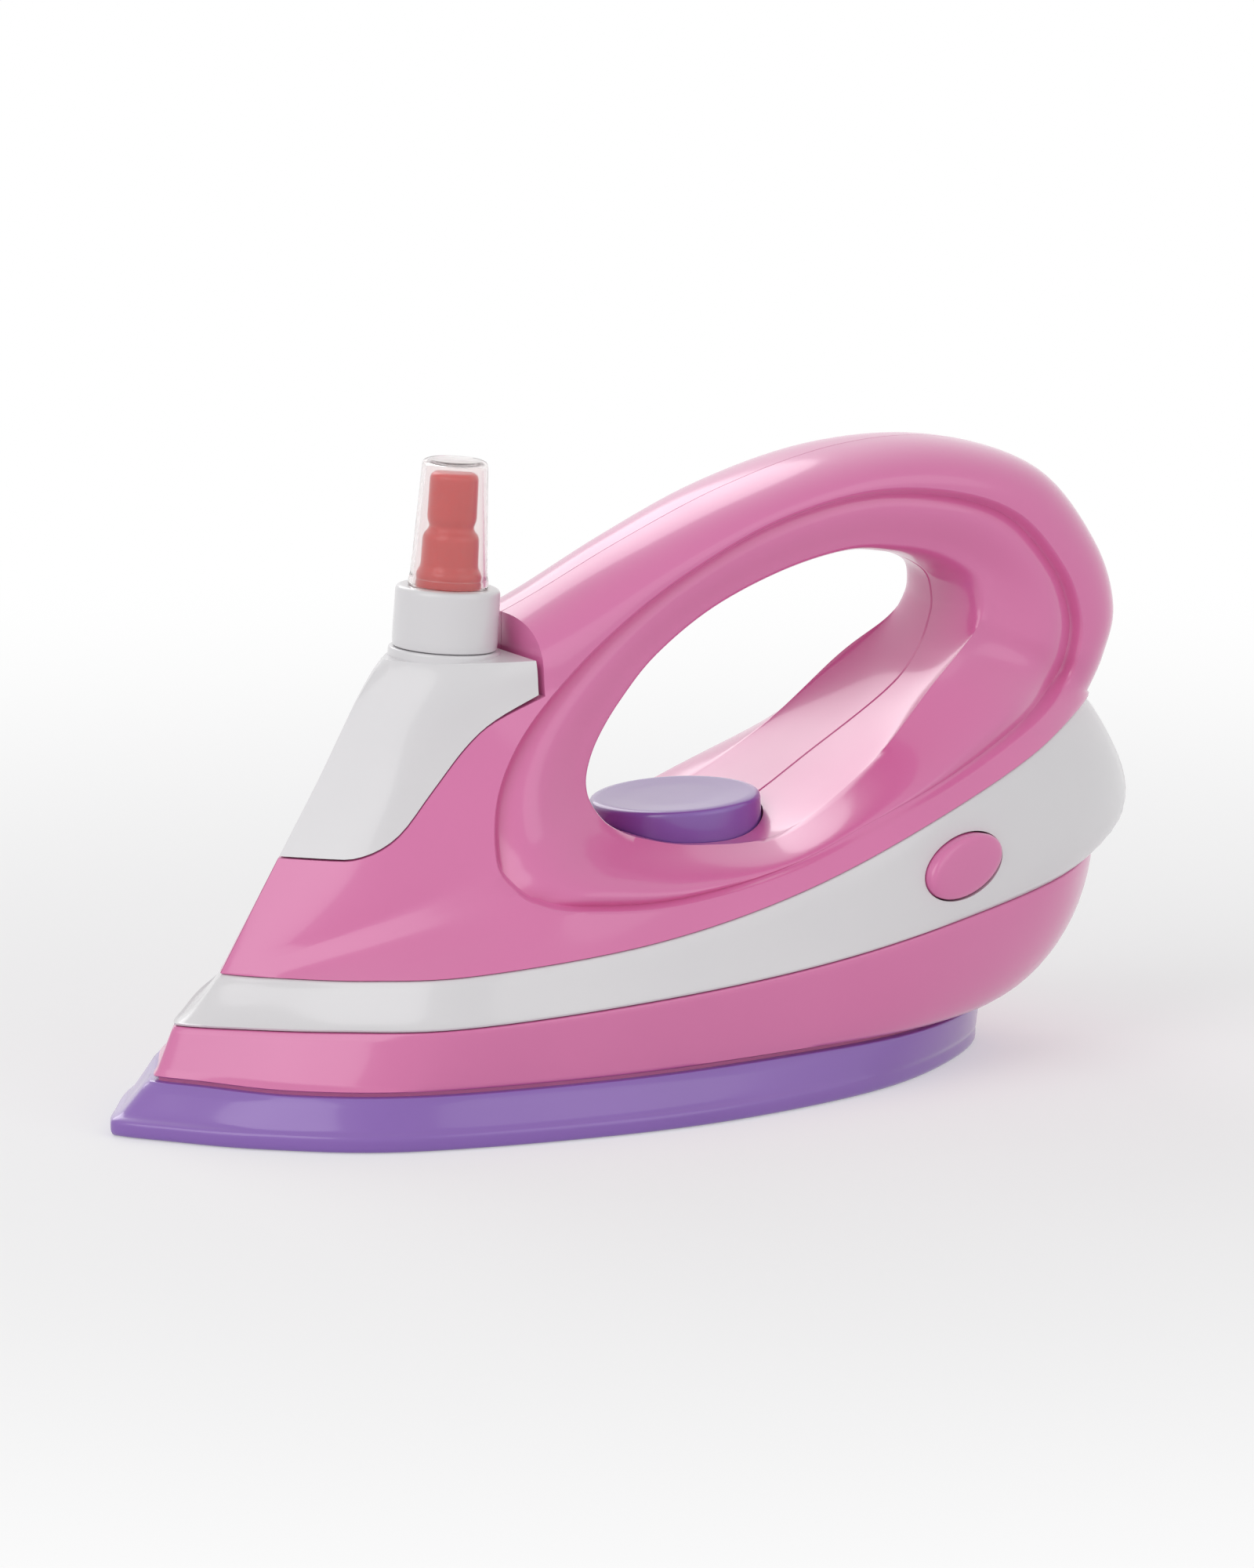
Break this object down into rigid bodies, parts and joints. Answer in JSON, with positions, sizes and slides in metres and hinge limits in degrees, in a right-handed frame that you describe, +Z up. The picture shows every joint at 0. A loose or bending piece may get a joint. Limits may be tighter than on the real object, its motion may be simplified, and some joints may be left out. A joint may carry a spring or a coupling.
{
  "type": "toy iron",
  "caption": "Child's pretend iron with an open loop handle, a lift-out water tank with a working spray pump, a turning dial and sprung side buttons.",
  "frame": {"origin": "centre of the bounding box on the plane of the ironing face", "axes": "+X to the heel, +Y to the side away from the picture, +Z up"},
  "size_m": [0.206, 0.0906, 0.1146],
  "materials": {
    "pink_plastic": "glossy moulded",
    "white_plastic": "glossy moulded",
    "purple_plastic": "satin moulded",
    "red_plastic": "glossy moulded",
    "clear_plastic": "clear",
    "natural_plastic": "uncoloured",
    "seal_rubber": "soft",
    "spring_steel": "drawn wire",
    "screw_steel": "zinc plated"
  },
  "bodies": {
    "body": {"soleplate": "purple_plastic", "lower_skirt": "pink_plastic", "trim_band": "white_plastic", "left_body_half": "pink_plastic", "right_body_half": "pink_plastic", "left_button_spring": "spring_steel", "right_button_spring": "spring_steel", "sole_screws": "screw_steel", "post_screws": "screw_steel", "body_screws": "screw_steel"},
    "tank": {"water_tank": "white_plastic", "neck_gasket": "seal_rubber", "pump_housing": "natural_plastic", "pump_collar": "white_plastic", "pump_spring": "spring_steel", "check_ball": "spring_steel", "dip_tube": "natural_plastic"},
    "spray_head": {"spray_actuator": "red_plastic", "nozzle_insert": "natural_plastic", "pump_stem": "natural_plastic"},
    "cap": {"spray_cap": "clear_plastic"},
    "dial": {"dial_knob": "purple_plastic", "dial_washer": "screw_steel", "dial_screw": "screw_steel"},
    "left_push": {"left_button": "pink_plastic"},
    "right_push": {"right_button": "pink_plastic"}
  },
  "joints": [
    {"name": "tank_lift", "type": "slide", "parent": "body", "child": "tank", "axis": [0.0698, 0, 0.9976], "range_m": [0, 0.045]},
    {"name": "spray_press", "type": "slide", "parent": "tank", "child": "spray_head", "axis": [-0.0698, 0, -0.9976], "range_m": [0, 0.004], "stiffness_N_per_m": 600, "springref_m": -0.004, "deforming": ["pump_spring"]},
    {"name": "cap_pull", "type": "slide", "parent": "tank", "child": "cap", "axis": [0.0698, 0, 0.9976], "range_m": [0, 0.03]},
    {"name": "dial_turn", "type": "hinge", "parent": "body", "child": "dial", "pos_m": [0.0115, 0, 0.04287], "axis": [-0.0523, 0, 0.9986], "continuous": true},
    {"name": "left_button_press", "type": "slide", "parent": "body", "child": "left_push", "axis": [-0.2272, 0.9738, 0], "range_m": [0, 0.002], "stiffness_N_per_m": 400, "springref_m": -0.002, "deforming": ["left_button_spring"]},
    {"name": "right_button_press", "type": "slide", "parent": "body", "child": "right_push", "axis": [-0.2272, -0.9738, 0], "range_m": [0, 0.002], "stiffness_N_per_m": 400, "springref_m": -0.002, "deforming": ["right_button_spring"]}
  ]
}
